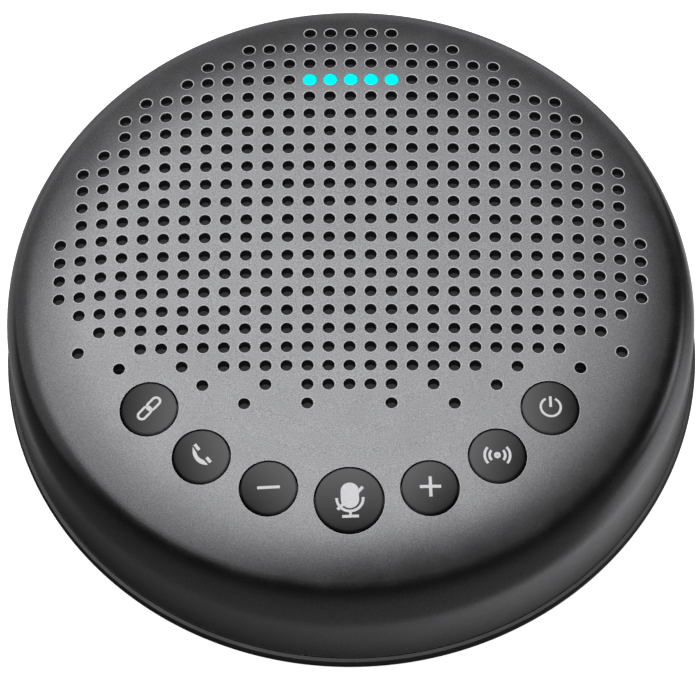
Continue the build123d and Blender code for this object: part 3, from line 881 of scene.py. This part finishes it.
class Look:
    """Principled material with object coordinates ready, built node by node."""

    def __init__(self, name):
        self.material = bpy.data.materials.new(name)
        self.material.use_nodes = True
        self.tree = self.material.node_tree
        self.shader = self.tree.nodes["Principled BSDF"]
        self.link = self.tree.links.new
        self.places = add_node(self.tree, "TexCoord").outputs["Object"]

    def set(self, **values):
        """Sets the shader's own sockets; a name's underscores stand for spaces."""
        for name, value in values.items():
            self.shader.inputs[name.replace("_", " ")].default_value = value
        return self

    def noise(self, scale, detail=2.0, stretch=None):
        """Noise with scale features a metre, stretched along the axes if asked."""
        texture = add_node(self.tree, "TexNoise")
        texture.inputs["Scale"].default_value = scale
        texture.inputs["Detail"].default_value = detail
        source = self.places
        if stretch:
            mapping = add_node(self.tree, "Mapping", None, self.places)
            mapping.inputs["Scale"].default_value = stretch
            source = mapping.outputs["Vector"]
        self.link(source, texture.inputs["Vector"])
        return texture.outputs["Fac"]

    def cells(self, scale):
        """Cell pattern with scale cells a metre: distance from each cell's middle."""
        texture = add_node(self.tree, "TexVoronoi", None, self.places)
        texture.inputs["Scale"].default_value = scale
        return texture.outputs["Distance"]

    def weave(self, pitch):
        """Plain weave of threads along X and Y, pitch metres apart, from 0 in the gaps to 1."""
        split = add_node(self.tree, "SeparateXYZ", None, self.places)
        waves = []
        for axis in ("X", "Y"):
            scaled = add_node(self.tree, "Math", "MULTIPLY", split.outputs[axis], pi / pitch)
            wave = add_node(self.tree, "Math", "SINE", scaled.outputs[0])
            waves.append(add_node(self.tree, "Math", "ABSOLUTE", wave.outputs[0]).outputs[0])
        return add_node(self.tree, "Math", "MAXIMUM", *waves).outputs[0]

    def gradient(self, start, end):
        """Value that grows from 0 at one place to 1 at another, along the line between them."""
        line = (end - start) / (end - start).length_squared
        along = add_node(self.tree, "VectorMath", "DOT_PRODUCT", self.places, line)
        shift = add_node(self.tree, "Math", "SUBTRACT", along.outputs["Value"], start.dot(line))
        shift.use_clamp = True
        return shift.outputs[0]

    def vary(self, socket, source, low, high, start=0.3, end=0.7):
        """Feeds a socket with colours or greys from low to high, as the source goes from start to end."""
        ramp = add_node(self.tree, "ValToRGB", None, source)
        for element, place, value in zip(ramp.color_ramp.elements, (start, end), (low, high)):
            element.position = place
            element.color = (*value, 1) if isinstance(value, tuple) else (value, value, value, 1)
        self.link(ramp.outputs["Color"], self.shader.inputs[socket])

    def roughen(self, scale, low, high):
        """Lets the roughness wander between two values."""
        self.vary("Roughness", self.noise(scale), low, high)

    def bump(self, source, height, strength=1.0, before=None):
        """Bump of a height in metres, on top of another bump if one is given."""
        bump = add_node(self.tree, "Bump")
        bump.inputs["Strength"].default_value = strength
        bump.inputs["Distance"].default_value = height
        self.link(source, bump.inputs["Height"])
        if before:
            self.link(before, bump.inputs["Normal"])
        self.link(bump.outputs["Normal"], self.shader.inputs["Normal"])
        return bump.outputs["Normal"]


def shade(colour, factor):
    """A colour made lighter or darker."""
    return tuple(min(channel * factor, 1.0) for channel in colour)


def paint():
    """Satin metallic paint: fine flakes, faint clouding and a slight orange-peel surface."""
    look = Look("satin_metallic_paint").set(Metallic=1.0)
    grey = (0.300, 0.301, 0.306)
    look.vary("Base Color", look.noise(5600), shade(grey, 0.74), shade(grey, 1.28), 0.32, 0.68)
    look.vary("Roughness", look.noise(160, 4.0), 0.23, 0.29)
    peel = look.bump(look.noise(1400), 0.000003, 0.3)
    look.bump(look.noise(5200, 1.0), 0.000004, 0.5, peel)
    return look


def pale_edge_highlight():
    """Thin rounded edges, painted pale: a painted highlight along them."""
    look = Look("edge_painted_highlight").set(Metallic=0.2)
    look.vary("Base Color", look.noise(1500, 3.0), (0.66, 0.66, 0.67), (0.84, 0.84, 0.85))
    look.roughen(3000, 0.40, 0.55)
    return look


def lamp_glow_painted_edge():
    """Paint round a lamp with the lamp's light painted on it: cyan colour and a faint painted glow."""
    look = Look("cyan_painted_glow_edge").set(Emission_Color=(0.0, 0.55, 0.60, 1), Emission_Strength=0.35)
    look.vary("Base Color", look.noise(1500, 3.0), (0.02, 0.20, 0.22), (0.03, 0.28, 0.30))
    look.roughen(3000, 0.40, 0.55)
    return look


def plastic(name, grey, roughness):
    """Moulded plastic with a fine spark-eroded grain."""
    look = Look(name)
    colour = shade((1.0, 1.0, 1.02), grey)
    look.vary("Base Color", look.noise(300, 3.0), shade(colour, 0.88), shade(colour, 1.12))
    look.roughen(900, roughness - 0.05, roughness + 0.05)
    look.bump(look.noise(6500), 0.000012, 0.5)
    return look


def glossy_plastic():
    """Polished black plastic with very faint waviness and fine scuffs."""
    look = Look("polished_black_plastic").set(Coat_Weight=0.35, Coat_Roughness=0.06)
    look.vary("Base Color", look.noise(240, 3.0), 0.010, 0.016)
    scuffs = look.noise(700, 5.0, stretch=(1.0, 0.2, 1.0))
    look.vary("Roughness", scuffs, 0.13, 0.24, 0.35, 0.75)
    look.bump(look.noise(350), 0.000008, 0.4)
    return look


def key_finish(name):
    """Dark satin soft-touch coat of a key with a painted highlight: paler on the side that faces the middle
    of the keys.
    """
    look = Look(name + "_soft_touch").set(Metallic=0.0, Specular_IOR_Level=0.3)
    middle = Vector((*key_place(name), 0))
    reach = (Vector((0, key_highlight_y, 0)) - middle).normalized() * key_radius(name)
    # painted highlight: the base colour pales towards the middle of the keys
    painted_highlight = look.gradient((middle - reach) * MM, (middle + reach) * MM)
    look.vary("Base Color", painted_highlight, (0.008, 0.008, 0.0082), (0.128, 0.128, 0.131), 0.05, 1.0)
    look.roughen(1100, 0.27, 0.33)
    look.bump(look.noise(7000), 0.000003, 0.4)
    return look


def legend_finish():
    """Pale grey ink with a little mottling and a faint painted glow."""
    look = Look("pale_legend_ink").set(Emission_Color=(0.9, 0.9, 0.92, 1), Emission_Strength=0.1)
    look.vary("Base Color", look.noise(2500, 3.0), (0.66, 0.66, 0.67), (0.76, 0.76, 0.77))
    look.roughen(1800, 0.5, 0.62)
    return look


def lamp_finish():
    """Lit cyan lens."""
    look = Look("lit_cyan_lens").set(Emission_Color=(0.0, 0.98, 1.0, 1), Emission_Strength=2.0)
    look.set(Specular_IOR_Level=0.0)
    look.vary("Base Color", look.noise(900), (0.0, 0.30, 0.32), (0.0, 0.36, 0.38))
    look.roughen(1600, 0.35, 0.5)
    return look


def metal(name, colour, roughness, scale=900.0, stretch=None):
    """Plated or drawn metal with fine marks and an uneven shine."""
    look = Look(name).set(Metallic=1.0)
    look.vary("Base Color", look.noise(160, 4.0), shade(colour, 0.85), colour)
    marks = look.noise(scale, 5.0, stretch)
    look.vary("Roughness", marks, roughness * 0.75, roughness * 1.3)
    look.bump(marks, 0.000004, 0.4)
    return look


def rubber(name, grey):
    """Matt rubber with a stippled face."""
    look = Look(name)
    look.vary("Base Color", look.noise(500, 3.0), grey * 0.8, grey * 1.2)
    look.roughen(1500, 0.78, 0.92)
    look.bump(look.cells(2600), 0.00004, 0.6)
    return look


def cloth(name, dark, light, pitch):
    """Woven cloth: threads along X and Y with darker gaps."""
    look = Look(name)
    threads = look.weave(pitch)
    look.vary("Base Color", threads, dark, light, 0.55, 0.95)
    look.roughen(900, 0.8, 0.95)
    look.bump(threads, 0.00006, 0.8)
    return look


def circuit_board():
    """Solder-mask green board with faint tracks under the mask."""
    look = Look("solder_mask_board").set(Coat_Weight=0.4, Coat_Roughness=0.2)
    tracks = look.cells(700)
    look.vary("Base Color", tracks, (0.010, 0.060, 0.030), (0.004, 0.028, 0.016), 0.10, 0.55)
    look.roughen(600, 0.3, 0.45)
    look.bump(tracks, 0.00002, 0.5)
    return look


def paper(name, dark, light):
    """Pressed fibre."""
    look = Look(name)
    look.vary("Base Color", look.noise(1600, 6.0), dark, light)
    look.roughen(500, 0.8, 0.95)
    look.bump(look.noise(2600, 5.0), 0.00005, 0.7)
    return look


def film(name, colour):
    """Smooth film or wrap with a slight ripple."""
    look = Look(name).set(Coat_Weight=0.3, Coat_Roughness=0.15)
    look.vary("Base Color", look.noise(200, 3.0), shade(colour, 0.85), colour)
    look.roughen(700, 0.28, 0.4)
    look.bump(look.noise(260), 0.00004, 0.5)
    return look


LEGEND_FINISH = legend_finish()
LAMP_FINISH = lamp_finish()

SLOT_LOOKS = {
    "painted_shell": paint(),
    "base_plastic": plastic("base_plastic_grain", 0.022, 0.42),
    "foot_rubber": rubber("foot_rubber_stipple", 0.02),
    "key_plastic": plastic("key_plastic", 0.03, 0.35),
    "inner_plastic": plastic("inner_plastic_grain", 0.03, 0.5),
    "circuit_board": circuit_board(),
    "switch_body": plastic("switch_plastic", 0.05, 0.5),
    "screw_steel": metal("zinc_plated_steel", (0.62, 0.62, 0.60), 0.35),
    "plated_steel": metal("bright_plated_steel", (0.78, 0.78, 0.79), 0.16, 1400, (1, 0.15, 1)),
    "soft_rubber": rubber("soft_rubber_stipple", 0.03),
    "lamp_lens": plastic("lamp_body", 0.7, 0.35),
    "lamp_guide": LAMP_FINISH,
    "speaker_steel": metal("pressed_steel", (0.45, 0.45, 0.46), 0.4),
    "magnet": metal("nickel_magnet", (0.55, 0.54, 0.52), 0.25),
    "coil_copper": metal("enamelled_copper", (0.75, 0.32, 0.14), 0.3, 4000, (0.1, 0.1, 6)),
    "spider_cloth": cloth("spider_weave", (0.20, 0.12, 0.03), (0.42, 0.28, 0.10), 0.0006),
    "cone_paper": paper("cone_fibre", (0.018, 0.018, 0.018), (0.045, 0.045, 0.047)),
    "gasket_foam": paper("gasket_foam_cells", (0.015, 0.015, 0.015), (0.035, 0.035, 0.035)),
    "mesh_cloth": cloth("acoustic_mesh_weave", (0.037, 0.037, 0.038), (0.080, 0.080, 0.082), 0.00016),
    "contact_brass": metal("gold_flash_brass", (0.85, 0.62, 0.28), 0.25),
    "chip_black": plastic("chip_epoxy", 0.018, 0.55),
    "capacitor_can": metal("capacitor_aluminium", (0.72, 0.72, 0.73), 0.3),
    "socket_plastic": plastic("socket_nylon", 0.45, 0.5),
    "ribbon_film": film("ribbon_polyimide", (0.60, 0.26, 0.06)),
    "wire_sleeve": film("wire_sleeve_red", (0.35, 0.02, 0.02)),
    "cell_wrap": film("cell_wrap_silver", (0.42, 0.43, 0.45)),
    "dongle_plastic": glossy_plastic(),
    "plug_steel": metal("plug_drawn_steel", (0.86, 0.86, 0.87), 0.14, 1600, (1, 0.12, 1)),
    "tongue_plastic": plastic("tongue_white_plastic", 0.5, 0.4),
}


def dress_cad_nodes():
    """Gives every CAD node the finish of its slot."""
    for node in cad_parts.values():
        for place, old in enumerate(node.data.materials):
            node.data.materials[place] = SLOT_LOOKS[old.name.split(".")[0]].material


# ---- build the pieces ----
make_top_shell()
make_base_shell()
for key_name, draw_legend in KEYS.items():
    make_key(key_name)
    legend = Legend(key_name)
    draw_legend(legend)
    legend.finish()
make_lamps()
make_dongle_cap()
dress_cad_nodes()


# ---- floor, light and camera ----
def add_sheet(name, points, faces, look):
    """Sheet of the studio round the object, which gives no light and no shadow."""
    mesh = bpy.data.meshes.new(name)
    mesh.from_pydata(points, [], faces)
    mesh.materials.append(look.material)
    sheet = add_object(name, mesh)
    sheet.visible_diffuse = False
    sheet.visible_shadow = False
    sheet.visible_transmission = False
    return sheet


def fan(sides):
    """Triangles from point 0 to the ring after it."""
    return [(0, 1 + i, 1 + (i + 1) % sides) for i in range(sides)]


def make_studio():
    """White paper floor that sweeps up into a white dome. Only the camera sees it, so it gives no light."""
    reach, sides, rows = 6.0, 48, 12
    points = [(0, 0, 0)]
    points += [(x, y, 0) for x, y in circle(reach / 2, sides)]
    for row in range(rows):
        angle = pi / 2 * row / rows
        points += [(x, y, reach * sin(angle)) for x, y in circle(reach * cos(angle), sides)]
    faces = fan(sides)
    for row in range(rows):
        first = 1 + row * sides
        for i in range(sides):
            j = (i + 1) % sides
            faces.append((first + i, first + sides + i, first + sides + j, first + j))
    look = Look("white_paper").set(Roughness=0.9, Emission_Color=(1, 1, 1, 1), Emission_Strength=0.97)
    look.vary("Base Color", look.noise(40), 0.80, 0.84)
    floor = add_sheet("studio_floor", points, faces, look)
    floor.visible_glossy = False


def make_contact_shadow():
    """Dark soft-edged patch of floor under the object, seen only as a reflection in its glossy sides."""
    reach, sides = 0.09, 96
    inner_edge, outer_edge = 0.061, 0.072
    points = [(0, 0, 0)] + [(x, y, 0) for x, y in circle(reach, sides)]
    look = Look("shaded_floor").set(Roughness=1.0, Specular_IOR_Level=0.0, Base_Color=(0, 0, 0, 1))
    distance = add_node(look.tree, "VectorMath", "LENGTH", look.places).outputs["Value"]
    look.link(fade(look.tree, distance, outer_edge, inner_edge), look.shader.inputs["Alpha"])
    patch = add_sheet("contact_shadow", points, fan(sides), look)
    patch.location.z = -0.0005
    patch.visible_camera = False


# Soft boxes of the studio: direction from the object (azimuth from +X, elevation), half-width, how much of
# it its faded edge takes, and brightness.
SOFT_BOXES = {
    "overhead_rear": (88, 62, 29, 0.22, 0.74),
    "overhead_left": (134, 66, 25.5, 0.22, 0.63),
    "overhead_spot": (35, 77, 6, 0.10, 0.54),
    "rear_card": (96, 0, 33, 0.40, 0.12),
    "rear_left_card": (103, -29, 45, 0.10, 0.17),
    "left_glow": (149, 21, 35, 0.10, 0.16),
    "right_strip": (11, 5, 10, 0.90, 0.60),
    "right_glow": (61, 6, 18, 0.42, 0.25),
    "right_card": (6, -33, 18, 0.65, 0.35),
    "front_card": (294, -51, 75, 0.90, 0.09),
    "front_right_card": (36, -78, 24, 0.90, 0.66),
}


def make_lights():
    """The room's light: soft round boxes in a dark room, each fading out over its edge."""
    world = bpy.data.worlds.new("studio_room")
    world.use_nodes = True
    tree = world.node_tree
    direction = add_node(tree, "TexCoord").outputs["Generated"]
    boxes = []
    for azimuth, elevation, half_width, softness, brightness in SOFT_BOXES.values():
        axis = Vector((cos(radians(azimuth)), sin(radians(azimuth)), tan(radians(elevation)))).normalized()
        towards = add_node(tree, "VectorMath", "DOT_PRODUCT", direction, axis).outputs["Value"]
        angle = add_node(tree, "Math", "ARCCOSINE", towards).outputs[0]
        outer, inner = radians(half_width) * (1 + softness), radians(half_width) * (1 - softness)
        boxes.append(fade(tree, angle, outer, inner, brightness))
    total = boxes[0]
    for box in boxes[1:]:
        total = add_node(tree, "Math", "ADD", total, box).outputs[0]
    background = tree.nodes["Background"]
    background.inputs["Color"].default_value = (1.0, 1.0, 1.02, 1)
    tree.links.new(total, background.inputs["Strength"])
    bpy.context.scene.world = world


def make_fill():
    """Large soft box above the front that fills in matt surfaces, too dull to show in the paint."""
    data = bpy.data.lights.new("front_fill", "AREA")
    data.shape = "DISK"
    data.size = 0.8
    data.energy = 20.0
    fill = add_object("front_fill", data)
    elevation, distance = radians(72), 2.0
    fill.location = (0, -distance * cos(elevation), distance * sin(elevation))
    fill.rotation_euler = (pi / 2 - elevation, 0, 0)
    fill.visible_glossy = False
    fill.visible_camera = False


def make_camera():
    """Long lens, looking down on the front at about 62 degrees, with a slight turn and roll."""
    elevation, roll, turn = radians(61.865), radians(1.351), radians(-1.344)
    distance, aim_below, aim_right = 1032.5, 11.80, 0.045
    image_width, focal_length = 700, 5899.3
    spin = Matrix.Rotation(-turn, 3, "Z")
    right = Vector((1, 0, 0))
    up = Vector((0, sin(elevation), cos(elevation)))
    forward = Vector((0, cos(elevation), -sin(elevation)))
    rolled_right = spin @ (right * cos(roll) - up * sin(roll))
    rolled_up = spin @ (right * sin(roll) + up * cos(roll))
    forward = spin @ forward
    apex = Vector((0, 0, shell_top))
    place = apex + rolled_right * aim_right - rolled_up * aim_below - forward * distance
    data = bpy.data.cameras.new("camera")
    data.sensor_width = 36.0
    data.lens = data.sensor_width / (image_width / focal_length)
    camera = add_object("camera", data)
    axes = Matrix((rolled_right, rolled_up, -forward)).transposed()
    camera.matrix_world = Matrix.Translation(place * MM) @ axes.to_4x4()
    bpy.context.scene.camera = camera


make_studio()
make_contact_shadow()
make_lights()
make_fill()
make_camera()
bpy.context.scene.view_settings.view_transform = "Standard"
